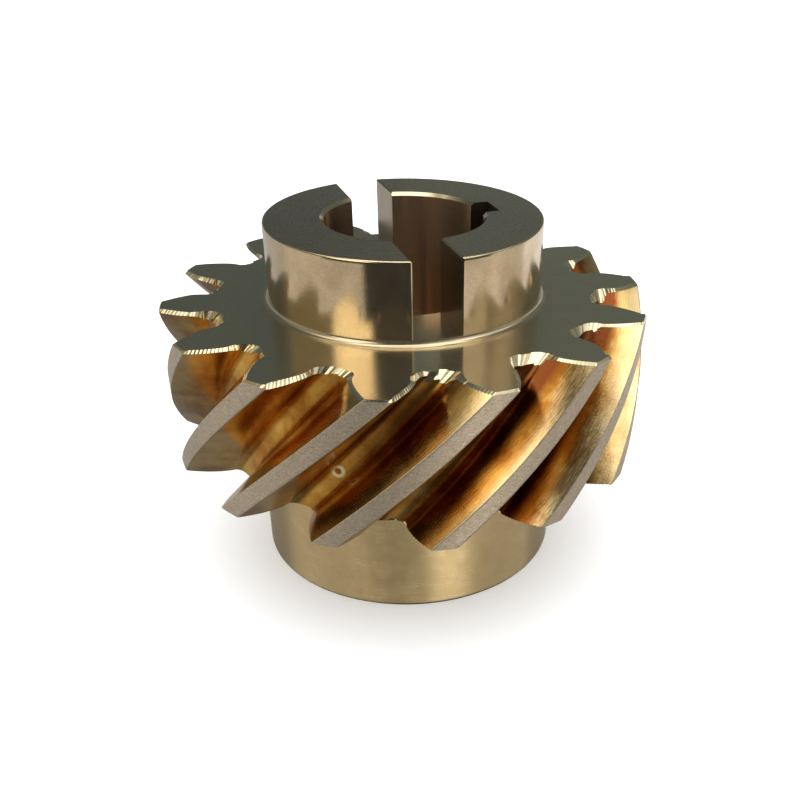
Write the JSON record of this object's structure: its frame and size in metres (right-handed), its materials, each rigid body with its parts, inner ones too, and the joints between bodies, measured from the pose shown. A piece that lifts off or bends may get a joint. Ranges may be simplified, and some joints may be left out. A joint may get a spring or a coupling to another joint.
{
  "type": "helical gear",
  "caption": "Right-hand 45 degree helical gear with integral hubs at both ends, a keyed bore and a drive slot across one hub.",
  "frame": {"origin": "centre of the bore at the lower hub's end face, which the gear stands on", "axes": "+Z along the gear's axis towards the slotted hub; +X towards the keyway; the drive slot runs along Y"},
  "size_m": [0.0692, 0.0692, 0.0508],
  "materials": {
    "bronze": "machined bronze: turned hubs and lands, polished tooth flanks"
  },
  "bodies": {
    "root": {"helical_gear": "bronze"}
  },
  "joints": []
}
